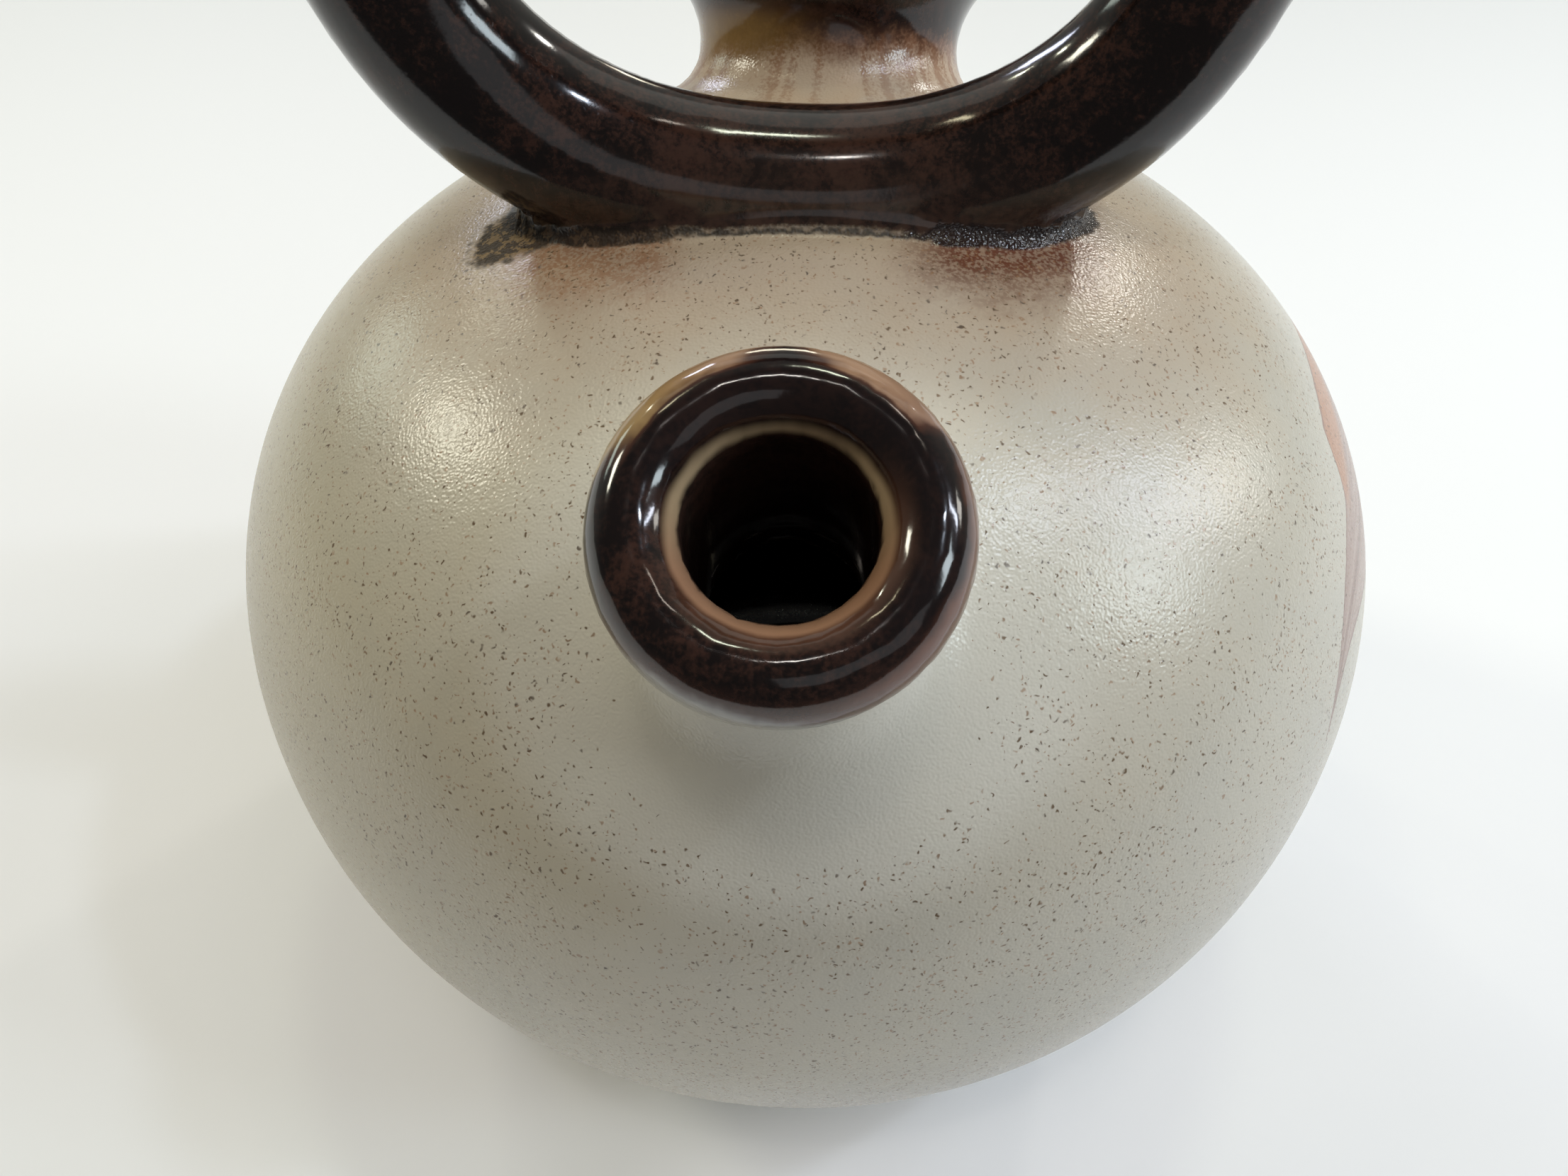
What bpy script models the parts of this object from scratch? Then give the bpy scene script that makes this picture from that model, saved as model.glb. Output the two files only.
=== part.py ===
"""Stoneware water jug: a hollow round body, a ring handle, a short pouring spout and a wide filling mouth.

Metres, +Z up. The origin is the centre of the flat underside, on the body's turning axis. The spout leans
to the front (-Y), the filling mouth to the back (+Y), and the ring stands across the body in the XZ plane.
The jug's parts were thrown apart, luted together wet and fired once, so it is a single piece of clay: the
ring is a solid coil, and both bores open into the hollow body.
"""
import bpy
from math import asin, atan, cos, pi, radians, sin, sqrt, tan
from mathutils import Vector

MM = 0.001

# Body; heights are measured from its widest level
BODY_RADIUS = 90.0 * MM
BODY_RISE = 72.7 * MM           # widest level up to the crown
BODY_DROP = 83.1 * MM           # widest level down to where the round would close without a foot
CROWN_POWER = 2.27              # 2 is an ellipse; a little more gives fuller shoulders
FOOT_RADIUS = 42.0 * MM
FOOT_ROUND = 2.5 * MM
WALL = 6.0 * MM
FLOOR = 8.0 * MM
FLOOR_ROUND = 9.0 * MM          # inside corner between floor and wall

# Ring handle: a solid coil bent to a rounded oval and pressed down into the crown
RING_HALF_WIDTH = 50.6 * MM     # to the coil's centre line
RING_HALF_HEIGHT = 46.7 * MM
RING_POWER = 2.28
RING_ROLL = radians(2.3)        # set by hand, so not quite level
RING_SHIFT_X = -0.7 * MM
RING_SHIFT_Y = -1.2 * MM
COIL_RADIUS = 9.9 * MM
COIL_SWELL = 1.0 * MM           # fatter where it is luted to the crown
COIL_UNEVEN = 0.35 * MM         # fatter on the -X side, thinner on the +X side
RING_SINK = 12.1 * MM           # how far the coil's underside goes below the crown

# Pouring spout, at the front
SPOUT_HEIGHT_ANGLE = radians(42.35)  # where its axis leaves the body, seen from the widest level's centre
SPOUT_SWING = radians(-0.75)         # its turn towards +X
SPOUT_PITCH = radians(64.0)          # its axis above level
SPOUT_LENGTH = 29.7 * MM             # from the body's surface to the mouth, along the axis
SPOUT_BORE = 8.9 * MM                # radius
SPOUT_WAIST = 13.0 * MM
SPOUT_LIP_RADIUS = 17.65 * MM
SPOUT_LIP_DEPTH = 12.0 * MM
SPOUT_COVE = 10.0 * MM               # radius of the hollow under the lip
SPOUT_ROOT_FLARE = 12.0 * MM

# Filling mouth, at the back
FILLER_HEIGHT_ANGLE = radians(51.5)
FILLER_SWING = radians(3.5)          # it was set a little to one side
FILLER_PITCH = radians(64.0)
FILLER_LENGTH = 25.0 * MM
FILLER_BORE = 15.5 * MM
FILLER_WAIST = 21.0 * MM
FILLER_LIP_RADIUS = 28.0 * MM
FILLER_LIP_DEPTH = 12.0 * MM
FILLER_COVE = 12.9 * MM
FILLER_ROOT_FLARE = 12.0 * MM

ROOT_DIP = 6.0 * MM             # both roots' flares close this far under the body's surface
BORE_OVERRUN = 4.0 * MM         # both bores are cut this far past the wall's inner face

BODY_SEGMENTS = 56
BODY_ROWS = 14                  # rows above the widest level, and as many below
CAVITY_SEGMENTS = 44
CAVITY_ROWS = 10
COIL_SEGMENTS = 56
SPOUT_SEGMENTS = 28
FILLER_SEGMENTS = 36

FOOT_DROP = BODY_DROP * sqrt(1.0 - (FOOT_RADIUS / BODY_RADIUS) ** 2)
BODY_CENTRE = Vector((0.0, 0.0, FOOT_DROP))

GLAZE_COLOUR = (0.46, 0.42, 0.35, 1.0)


def clear_scene():
    for old in list(bpy.data.objects):
        bpy.data.objects.remove(old, do_unlink=True)


def new_collection(name):
    new = bpy.data.collections.new(name)
    bpy.context.scene.collection.children.link(new)
    return new


def body_outline(radius, rise, drop, floor_drop, edge_round, rows):
    """(r, z) from the crown down to the middle of the underside."""
    points = []
    for row in range(rows):
        turn = pi / 2 * (1.0 - row / rows)
        r = 0.0 if row == 0 else radius * cos(turn) ** (2.0 / CROWN_POWER)
        points.append((r, rise * sin(turn) ** (2.0 / CROWN_POWER)))
    last = asin((floor_drop - edge_round) / drop)
    for row in range(rows):
        turn = last * row / (rows - 1)
        points.append((radius * cos(turn), -drop * sin(turn)))
    start = Vector(points[-1])
    corner = Vector((radius * sqrt(1.0 - (floor_drop / drop) ** 2), -floor_drop))
    end = Vector((corner.x - edge_round, -floor_drop))
    for share in (0.33, 0.67, 1.0):
        point = (1 - share) ** 2 * start + 2 * share * (1 - share) * corner + share ** 2 * end
        points.append((point.x, point.y))
    points.append((0.0, -floor_drop))
    return points


def cove_meets_lip(waist, cove, lip_centre, lip_half_width, lip_half_depth):
    """Angles on the cove and on the lip's underside where one runs smoothly into the other."""
    low, high = 0.0, radians(89.0)
    for _ in range(40):
        turn = 0.5 * (low + high)
        under = atan(tan(turn) * lip_half_depth / lip_half_width)
        if waist + cove * (1 - cos(turn)) < lip_centre + lip_half_width * cos(under):
            low = turn
        else:
            high = turn
    return turn, under


def neck_outline(length, bore, waist, lip_radius, lip_depth, cove, root_flare):
    """(r, s) of a neck without its bore: s runs along its axis from the body's surface."""
    lip_centre = 0.5 * (lip_radius + bore)
    lip_half_width = 0.5 * (lip_radius - bore)
    lip_half_depth = 0.5 * lip_depth
    lip_level = length - lip_half_depth
    cove_end, lip_end = cove_meets_lip(waist, cove, lip_centre, lip_half_width, lip_half_depth)
    # a shallow plug closes the mouth until the bore is cut through its slope
    points = [(0.0, lip_level), (0.8 * bore, lip_level)]
    first = radians(150.0)
    for step in range(10):
        turn = first - (first + lip_end) * step / 9
        points.append((lip_centre + lip_half_width * cos(turn), lip_level + lip_half_depth * sin(turn)))
    waist_level = lip_level - lip_half_depth * sin(lip_end) - cove * sin(cove_end)
    for step in range(1, 5):
        turn = cove_end * (1 - step / 4)
        points.append((waist + cove * (1 - cos(turn)), waist_level + cove * sin(turn)))
    root_height = waist_level + ROOT_DIP
    for step in range(1, 4):
        turn = radians(60.0) * step / 3
        points.append((waist + root_flare * (1 - cos(turn)), waist_level - root_height * sin(turn)))
    # below that the flare runs on straight, into the clay of the wall
    end_r, end_s = points[-1]
    slope = root_flare * sin(turn) / (root_height * cos(turn))
    points.append((end_r + slope * ROOT_DIP, end_s - ROOT_DIP))
    points.append((0.0, end_s - ROOT_DIP))
    return points


def bore_outline(length, bore):
    top = length + BORE_OVERRUN
    bottom = -WALL - BORE_OVERRUN
    return [(0.0, top), (bore, top), (bore, bottom), (0.0, bottom)]


def turned(name, outline, segments, home, start=0.0):
    """An outline turned about its own Z axis, from the angle start."""
    mesh = bpy.data.meshes.new(name)
    corners = [(r * cos(start), r * sin(start), z) for r, z in outline]
    mesh.from_pydata(corners, [(i, i + 1) for i in range(len(corners) - 1)], [])
    obj = bpy.data.objects.new(name, mesh)
    home.objects.link(obj)
    screw = obj.modifiers.new("turn", "SCREW")
    screw.axis = "Z"
    screw.angle = 2 * pi
    screw.steps = segments
    screw.render_steps = segments
    screw.use_merge_vertices = True
    screw.merge_threshold = 0.00002
    screw.use_smooth_shade = True
    return obj


def stand_on_body(obj, height_angle, swing, pitch, side):
    """Puts a neck's foot on the body's surface; side is -1 for the front and 1 for the back."""
    steep = tan(height_angle)
    r = (BODY_RADIUS ** -CROWN_POWER + (steep / BODY_RISE) ** CROWN_POWER) ** (-1.0 / CROWN_POWER)
    obj.location = BODY_CENTRE + Vector((r * sin(swing), side * r * cos(swing), r * steep))
    axis = Vector((cos(pitch) * sin(swing), side * cos(pitch) * cos(swing), sin(pitch)))
    obj.rotation_euler = axis.to_track_quat("Z", "Y").to_euler()


def oval(turn):
    """A point of the ring's centre line, in its own XZ plane."""
    c, s = cos(turn), sin(turn)
    x = RING_HALF_WIDTH * abs(c) ** (2.0 / RING_POWER) * (1 if c >= 0 else -1)
    z = RING_HALF_HEIGHT * abs(s) ** (2.0 / RING_POWER) * (1 if s >= 0 else -1)
    return x, z


def ring_handle(home):
    """The ring as a bevelled closed curve, then turned into a mesh."""
    curve = bpy.data.curves.new("ring_coil", "CURVE")
    curve.dimensions = "3D"
    curve.bevel_depth = COIL_RADIUS
    curve.bevel_resolution = 6
    spline = curve.splines.new("POLY")
    spline.points.add(COIL_SEGMENTS - 1)
    spline.use_cyclic_u = True
    for i, point in enumerate(spline.points):
        turn = 2 * pi * (i + 0.5) / COIL_SEGMENTS
        x, z = oval(turn)
        coil = COIL_RADIUS - COIL_UNEVEN * cos(turn) + COIL_SWELL * max(0.0, -sin(turn)) ** 2
        point.co = (x, 0.0, z, 1.0)
        point.radius = coil / COIL_RADIUS
    line = bpy.data.objects.new("ring_line", curve)
    home.objects.link(line)
    ring_height = BODY_RISE - RING_SINK + COIL_RADIUS + COIL_SWELL + RING_HALF_HEIGHT
    line.location = BODY_CENTRE + Vector((RING_SHIFT_X, RING_SHIFT_Y, ring_height))
    line.rotation_euler = (0.0, RING_ROLL, 0.0)
    bpy.context.view_layer.update()
    ready = line.evaluated_get(bpy.context.evaluated_depsgraph_get())
    ring = bpy.data.objects.new("ring_shape", bpy.data.meshes.new_from_object(ready))
    ring.matrix_world = line.matrix_world.copy()
    home.objects.link(ring)
    bpy.data.objects.remove(line, do_unlink=True)
    ring.data.shade_smooth()
    return ring


def combine(obj, other, operation):
    step = obj.modifiers.new(operation.lower() + " " + other.name, "BOOLEAN")
    step.object = other
    step.operation = operation
    step.solver = "EXACT"
    other.hide_render = True
    other.display_type = "WIRE"


def glaze_material():
    glaze = bpy.data.materials.new("speckled_glaze")
    glaze.use_nodes = True
    shader = glaze.node_tree.nodes["Principled BSDF"]
    shader.inputs["Base Color"].default_value = GLAZE_COLOUR
    shader.inputs["Roughness"].default_value = 0.4
    shader.inputs["Metallic"].default_value = 0.0
    return glaze


def build():
    clear_scene()
    finished = new_collection("water_jug")
    shaping = new_collection("shaping")

    body = turned("body_shape", body_outline(BODY_RADIUS, BODY_RISE, BODY_DROP, FOOT_DROP, FOOT_ROUND,
                                             BODY_ROWS),
                  BODY_SEGMENTS, shaping)
    body.location = BODY_CENTRE
    cavity = turned("cavity_cut", body_outline(BODY_RADIUS - WALL, BODY_RISE - WALL, BODY_DROP - WALL,
                                               FOOT_DROP - FLOOR, FLOOR_ROUND, CAVITY_ROWS),
                    CAVITY_SEGMENTS, shaping)
    cavity.location = BODY_CENTRE

    spout = turned("spout_shape", neck_outline(SPOUT_LENGTH, SPOUT_BORE, SPOUT_WAIST, SPOUT_LIP_RADIUS,
                                               SPOUT_LIP_DEPTH, SPOUT_COVE, SPOUT_ROOT_FLARE),
                   SPOUT_SEGMENTS, shaping)
    # a bore's facets lie half a step round from its neck's, so that no edges coincide where they cross
    spout_bore = turned("spout_bore_cut", bore_outline(SPOUT_LENGTH, SPOUT_BORE), SPOUT_SEGMENTS, shaping,
                        pi / SPOUT_SEGMENTS)
    for obj in (spout, spout_bore):
        stand_on_body(obj, SPOUT_HEIGHT_ANGLE, SPOUT_SWING, SPOUT_PITCH, -1)

    filler = turned("filler_shape", neck_outline(FILLER_LENGTH, FILLER_BORE, FILLER_WAIST, FILLER_LIP_RADIUS,
                                                 FILLER_LIP_DEPTH, FILLER_COVE, FILLER_ROOT_FLARE),
                    FILLER_SEGMENTS, shaping)
    filler_bore = turned("filler_bore_cut", bore_outline(FILLER_LENGTH, FILLER_BORE), FILLER_SEGMENTS,
                         shaping, pi / FILLER_SEGMENTS)
    for obj in (filler, filler_bore):
        stand_on_body(obj, FILLER_HEIGHT_ANGLE, FILLER_SWING, FILLER_PITCH, 1)

    ring = ring_handle(shaping)
    for added in (ring, spout, filler):
        combine(body, added, "UNION")
    for cut in (cavity, spout_bore, filler_bore):
        combine(body, cut, "DIFFERENCE")

    bpy.context.view_layer.update()
    ready = body.evaluated_get(bpy.context.evaluated_depsgraph_get())
    jug = bpy.data.objects.new("jug", bpy.data.meshes.new_from_object(ready))
    jug.matrix_world = body.matrix_world.copy()
    finished.objects.link(jug)
    body.hide_render = True
    body.display_type = "WIRE"
    jug.data.name = "jug"
    jug.data.materials.clear()
    jug.data.materials.append(glaze_material())
    jug.data.shade_smooth()
    jug.data.set_sharp_from_angle(angle=radians(38.0))


build()
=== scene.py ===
"""Looks of the stoneware water jug: one fine skin of the whole jug in its speckled and dark glazes.

Metres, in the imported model's frame: the origin is the centre of the underside, +Z is up, and the spout
leans to the front (-Y). Inside the glaze, lengths are in millimetres and colours are linear.
"""

from math import asin, copysign, cos, pi, radians, sin, sqrt, tan

import bmesh
import bpy
import numpy as np
from mathutils import Matrix, Vector
from mathutils.bvhtree import BVHTree


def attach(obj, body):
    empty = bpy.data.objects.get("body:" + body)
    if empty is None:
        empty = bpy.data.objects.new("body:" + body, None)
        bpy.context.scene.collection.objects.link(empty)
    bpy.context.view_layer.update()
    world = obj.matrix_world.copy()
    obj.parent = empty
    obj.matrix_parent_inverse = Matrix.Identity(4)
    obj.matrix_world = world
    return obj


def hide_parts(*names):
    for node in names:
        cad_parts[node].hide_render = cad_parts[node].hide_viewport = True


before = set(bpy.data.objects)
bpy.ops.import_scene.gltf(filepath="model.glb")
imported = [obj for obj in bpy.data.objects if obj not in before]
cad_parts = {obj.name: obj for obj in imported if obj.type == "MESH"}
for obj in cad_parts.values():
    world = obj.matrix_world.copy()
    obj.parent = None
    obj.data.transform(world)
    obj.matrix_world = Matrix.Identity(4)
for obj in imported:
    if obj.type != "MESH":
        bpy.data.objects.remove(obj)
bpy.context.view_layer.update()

MM = 0.001
DEGREES = 180.0 / pi

# The model's own sizes
BODY_RADIUS = 90.0 * MM
BODY_RISE = 72.7 * MM
BODY_DROP = 83.1 * MM
CROWN_POWER = 2.27
FOOT_RADIUS = 42.0 * MM
FOOT_ROUND = 2.5 * MM
WALL = 6.0 * MM
FLOOR = 8.0 * MM
FLOOR_ROUND = 9.0 * MM
RING_HALF_WIDTH = 50.6 * MM
RING_HALF_HEIGHT = 46.7 * MM
RING_POWER = 2.28
RING_ROLL = radians(2.3)
RING_SHIFT = Vector((-0.7, -1.2, 0.0)) * MM
COIL_RADIUS = 9.9 * MM
COIL_SWELL = 1.0 * MM
COIL_UNEVEN = 0.35 * MM
RING_SINK = 12.1 * MM
FOOT_DROP = BODY_DROP * sqrt(1.0 - (FOOT_RADIUS / BODY_RADIUS) ** 2)
BODY_CENTRE = Vector((0.0, 0.0, FOOT_DROP))
RING_CENTRE = BODY_CENTRE + RING_SHIFT + Vector((0.0, 0.0, BODY_RISE - RING_SINK + COIL_RADIUS + COIL_SWELL
                                                 + RING_HALF_HEIGHT))

# The clay that lutes the ring down fills the narrow gap at both its ends
LUTING_HALF = Vector((38.5, 11.2, 13.0)) * MM
LUTING_DROP = 7.5 * MM          # its centre, under the crown

# The necks' outlines
ROOT_DIP = 6.0 * MM             # how far a neck reaches into the body
ROOT_TURN = radians(60.0)       # how far its flare turns outwards
LIP_START = radians(150.0)      # where the lip's line starts, inside the bore
STEEPEST_COVE = radians(89.0)
HALVINGS = 40                   # to find where the lip meets the cove
CAPPED_SHARE = 0.8              # of the bore's radius, closed flat until the bore is cut
BORE_OVERRUN = 4.0 * MM

# How finely the shapes are drawn
BODY_ROWS = 90
BODY_STEPS = 288
CAVITY_ROWS = 60
CAVITY_STEPS = 192
CORNER_STEPS = 6
RING_POINTS = 240
COIL_BEVEL = 12
LUTING_STEPS = 96
LUTING_ROWS = 48
LIP_STEPS = 36
COVE_STEPS = 16
ROOT_STEPS = 16
SPOUT_STEPS = 128
FILLER_STEPS = 160
SPOUT_BORE_STEPS = 130
FILLER_BORE_STEPS = 162
SAME_POINT = 0.01 * MM
VOXEL = 1.8 * MM

# How far each kind of join is rounded off, and in how many rounds of smoothing
RING_JOIN_REACH = 2.4 * MM
RING_JOIN_ROUNDS = 4
NECK_JOIN_REACH = 7.0 * MM
NECK_JOIN_ROUNDS = 30
EDGE_REACH = 2.6 * MM           # where the bores meet the lips and the hollow
EDGE_ROUNDS = 5
SMOOTHING = 0.5

# The skin's distances to its joins are cut off at these, in millimetres
SIDE_LIMIT = 60.0
INSIDE_LIMIT = 6.0

# The light ground
CREAM = (0.515, 0.478, 0.39)
GREY_CREAM = (0.475, 0.447, 0.372)
WARM_CREAM = (0.53, 0.483, 0.385)
# a yellow that is partly the glaze's own tone and partly painted warm light from the left
YELLOW_TONE_AND_WARM_LIGHT = (0.47, 0.405, 0.25)
TOASTED = (0.43, 0.318, 0.205)
# partly a thicker, speck-free glaze and partly painted light under the spout's lip
THICK_GLAZE_AND_LIGHT_CREAM = (0.635, 0.61, 0.525)
PALE_SPECK = (0.28, 0.145, 0.065)
DARK_SPECK = (0.12, 0.075, 0.04)
PINHOLE_BROWN = (0.085, 0.056, 0.035)
LEFT_RUST = (0.27, 0.118, 0.05)
RIGHT_RUST = (0.12, 0.037, 0.018)

# The painted panel
MAUVE_PAINT = (0.31, 0.20, 0.165)
PINK_PAINT = (0.38, 0.275, 0.225)
ORANGE_PAINT = (0.42, 0.185, 0.085)
PAINTED_LINE = (0.20, 0.105, 0.08)

# The dark glaze, and what it turns to where it thins
NEAR_BLACK = (0.0065, 0.004, 0.0036)
MOTTLED_BROWN = (0.042, 0.0185, 0.0125)
LOW_ON_RING = (0.05, 0.028, 0.019)
# painted shade for the bores and the hollow, where little light reaches
INSIDE_SHADE_BROWN = (0.025, 0.015, 0.011)
SPOUT_TAN = (0.31, 0.165, 0.083)
SPOUT_OLIVE = (0.30, 0.175, 0.045)
SPOUT_RED_BROWN = (0.17, 0.075, 0.045)
SPOUT_SLATE = (0.15, 0.147, 0.155)
LIP_BLACK = (0.0075, 0.0045, 0.0045)
LIP_LOWER_RIM = (0.075, 0.028, 0.016)
LIP_RED_EDGE = (0.14, 0.048, 0.024)
MOUTH_BROWN = (0.11, 0.048, 0.026)
PALE_RUN = (0.56, 0.40, 0.265)
BROWN_RUN = (0.36, 0.19, 0.10)
FILLER_RUST = (0.19, 0.082, 0.042)
FILLER_OCHRE = (0.30, 0.18, 0.05)
CRUST_GROUND = (0.010, 0.006, 0.002)
CRUST_FLECK = (0.20, 0.13, 0.05)
CREASE_GROUND = (0.010, 0.006, 0.003)
CREASE_FLECK = (0.06, 0.038, 0.02)
BLACK_BEAD = (0.011, 0.007, 0.007)

# The bare clay
MOUTH_CLAY = (0.42, 0.31, 0.18)
FRONT_MOUTH_CLAY = (0.30, 0.165, 0.095)
PALE_FOOT_CLAY = (0.36, 0.26, 0.17)
DARK_FOOT_CLAY = (0.30, 0.21, 0.135)

# The table and the room
NEAR_TABLE = (0.79, 0.79, 0.782)
# painted shade: the table's far part, darker than its near part
FAR_TABLE_SHADE = (0.60, 0.605, 0.59)
DIM_ROOM = (0.08, 0.08, 0.08)
PALE_WALLS = (0.26, 0.262, 0.24)

# The specks: how far apart they lie, their radius, and the share of places that have one
SPECK_SPREAD = (0.72, 0.26, 0.95)
PINHOLE_SPREAD = (1.22, 0.27, 0.72)
SPECK_EDGE = 0.3                # the share of the radius from which a speck fades out
SHAKE_SIZE = 0.7                # the noise that makes the specks ragged, and how far it moves them
SHAKE_REACH = 0.9
NOISE_MIDDLE = 0.5

# The painted panel's size, in degrees round the body from the right and up from its widest level
LEAF_MIDDLE = 5.0
LEAF_HALF_LENGTH = 41.0
LEAF_HALF_WIDTH = 8.7
LEAF_TAPER = 1.6
LEAF_RISE = 22.0
LEAF_ARCH = 8.0
TIP_DROOP = 11.0
TIP_DROOP_POWER = 8.0
LEAF_LOBE = 2.0
LOBE_SPAN = (-19.5, -14.0, -12.0, 16.0)
ORANGE_SPAN = (-20.5, -17.0, -6.0, 22.0)
STROKES_ALONG = 0.12            # brush strokes to a degree
STROKES_ACROSS = 1.5
PAINT_COVER = 0.9
MM_TO_A_DEGREE = BODY_RADIUS / MM * pi / 180.0

# Where the rust along the ring's foot comes in and goes out again, from left to right
LEFT_RUST_SPAN = (-42.0, -33.0, -20.0, -13.0)
RIGHT_RUST_SPAN = (8.0, 20.0, 34.0, 43.0)

# Directions out from the spout, square to its axis
BACK = (0.0, 0.9, 0.44)
BACK_LEFT = (-0.64, 0.69, 0.34)
BACK_RIGHT = (0.56, 0.745, 0.363)
LEFT = (-1.0, 0.0, 0.0)
RIGHT = (0.96, -0.26, -0.1)
FRONT = (0.0, -0.9, -0.44)
FRONT_LEFT = (-0.20, -0.88, -0.43)
FRONT_RIGHT = (0.86, -0.46, -0.22)
MOTTLED_SIDE = (-0.5, -0.78, -0.38)
WIDEST_BARE_SIDE = (0.1, -0.90, -0.43)
BROWNEST_MOUTH_SIDE = (0.5, -0.8, -0.35)
OCHRE_SIDE = (-0.94, -0.3, 0.1)         # of the filler

# The spout's dark glaze: the height where it ends on its neck, and how much higher on each side
SPOUT_GLAZE_LEVEL = 22.9
HIGHER_BEHIND = 6.6
HIGHER_FRONT_LEFT = 3.2
HIGHER_FRONT_RIGHT = -2.4
LIP_TOP_RADIUS = 14.3           # inside this the lip turns down into the mouth
MOUTH_PULL = 3.0                # what a millimetre inwards counts as in height
THIN_BEHIND = 8.0               # how much lower the thin glaze reaches behind the spout
BARE_MOUTH_RADIUS = 9.9
BARE_MOUTH_SHIFT = 0.75

CRUST_PATCH = Vector((-38.5, -6.5, 140.8))
CRUST_PATCH_SHAPE = (1.0, 1.15, 0.9)

# How rough each kind of surface is, and how it is pitted
GROUND_ROUGHNESS = 0.25
GLOSSY_ROUGHNESS = 0.11
FOOT_ROUGHENING = 0.45
CRUST_ROUGHENING = 0.65
PINHOLE_ROUGHENING = 0.1
GLAZE_IOR = 1.5
SMALL_PITS = (0.36, 0.05)       # their size and depth
WIDE_PITS = (1.3, 0.022)
PITS_IN_GLOSSY = 0.045
CRUST_LUMPS = 4.0

TABLE_ROUGHNESS = 0.6
TABLE_SHINE = 0.2
TABLE_NEAR_EDGE = -0.25
TABLE_FAR_EDGE = 1.5
TABLE_HALF_WIDTH = 1.5

CAMERA_PLACE = (0.0020, -0.15011, 0.22817)
CAMERA_TURN = (radians(42.784), radians(0.413), radians(1.554))
CAMERA_LENS = 28.0
CAMERA_SENSOR = 36.0
CAMERA_NEAREST = 0.001

LAMP_TARGET = Vector((0.0, 0.0, 0.1))
LAMP_DISTANCE = 2.0

# Each lamp's name, its direction from the jug, the light that it gives a surface facing it, its width and
# height, and whether the glaze mirrors it
LAMPS = (
    ("right_window", (0.84, -0.19, 0.50), (0.538, 0.626, 0.666), 0.35, 0.60, True),
    ("right_strip", (0.80, 0.08, 0.59), (0.6, 0.64, 0.74), 0.10, 0.90, True),
    ("right_main", (0.53, -0.07, 0.845), (0.3, 0.34, 0.4), 0.12, 0.12, True),
    ("right_high", (0.683, 0.30, 0.66), (0.18, 0.22, 0.28), 0.4, 0.4, False),
    ("key", (0.54, 0.68, 0.49), (0.3, 0.29, 0.27), 0.10, 0.10, True),
    ("overhead_right", (0.268, 0.155, 0.951), (0.08, 0.07, 0.06), 0.25, 0.10, True),
    ("overhead_middle", (0.08, 0.26, 0.96), (0.21, 0.222, 0.176), 0.25, 0.10, True),
    ("overhead_left", (-0.34, 0.22, 0.91), (0.1, 0.09, 0.06), 0.25, 0.10, True),
    ("overhead_front", (-0.025, -0.275, 0.961), (0.09, 0.085, 0.08), 0.10, 0.04, True),
    ("overhead_front_soft", (-0.025, -0.275, 0.961), (0.40, 0.39, 0.385), 0.60, 0.40, False),
    ("front_high_left", (-0.42, -0.36, 0.83), (0.24, 0.21, 0.175), 0.70, 0.70, False),
    ("front_high_right", (0.42, -0.36, 0.83), (0.24, 0.24, 0.26), 0.70, 0.70, False),
    ("front_right_low", (0.45, -0.80, 0.38), (0.25, 0.25, 0.255), 2.20, 0.90, True),
    ("right_low", (0.90, 0.24, 0.33), (0.27, 0.26, 0.24), 0.30, 0.40, True),
    ("back_window", (0.0, 0.72, 0.69), (0.26, 0.26, 0.24), 2.20, 1.00, True),
    ("back_row", (-0.033, 0.98, 0.16), (0.211, 0.191, 0.15), 0.5, 0.2, True),
    ("back_lamp_3", (-0.43, 0.72, 0.545), (0.09, 0.09, 0.07), 0.06, 0.06, True),
    ("back_lamp_4", (-0.61, 0.61, 0.50), (0.09, 0.09, 0.07), 0.06, 0.06, True),
    ("back_left", (-0.428, 0.826, 0.367), (0.34, 0.36, 0.44), 0.5, 0.2, True),
    ("left_window", (-0.78, 0.26, 0.57), (0.628, 0.608, 0.498), 0.30, 0.30, True),
    ("left_low", (-0.795, 0.555, 0.247), (0.143, 0.168, 0.149), 0.5, 0.3, True),
)

# The sockets of a Mix node that carry colours
MIX_WITHOUT = 6
MIX_WITH = 7
MIX_RESULT = 2


class Neck:
    """One of the two necks: where it stands, and the sizes of its outline."""

    def __init__(self, height_angle, swing, pitch, side, length, bore, waist, lip_radius, lip_depth, cove,
                 root_flare):
        steep = tan(height_angle)
        r = (BODY_RADIUS ** -CROWN_POWER + (steep / BODY_RISE) ** CROWN_POWER) ** (-1.0 / CROWN_POWER)
        self.root = BODY_CENTRE + Vector((r * sin(swing), side * r * cos(swing), r * steep))
        self.axis = Vector((cos(pitch) * sin(swing), side * cos(pitch) * cos(swing), sin(pitch)))
        self.length, self.bore, self.waist = length, bore, waist
        self.lip_radius, self.lip_depth = lip_radius, lip_depth
        self.cove, self.root_flare = cove, root_flare

    def place(self):
        turn = self.axis.to_track_quat("Z", "Y").to_matrix().to_4x4()
        return Matrix.Translation(self.root) @ turn


SPOUT = Neck(height_angle=radians(42.35), swing=radians(-0.75), pitch=radians(64.0), side=-1,
             length=29.7 * MM, bore=8.9 * MM, waist=13.0 * MM, lip_radius=17.65 * MM, lip_depth=12.0 * MM,
             cove=10.0 * MM, root_flare=12.0 * MM)
FILLER = Neck(height_angle=radians(51.5), swing=radians(3.5), pitch=radians(64.0), side=1,
              length=25.0 * MM, bore=15.5 * MM, waist=21.0 * MM, lip_radius=28.0 * MM, lip_depth=12.0 * MM,
              cove=12.9 * MM, root_flare=12.0 * MM)


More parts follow.
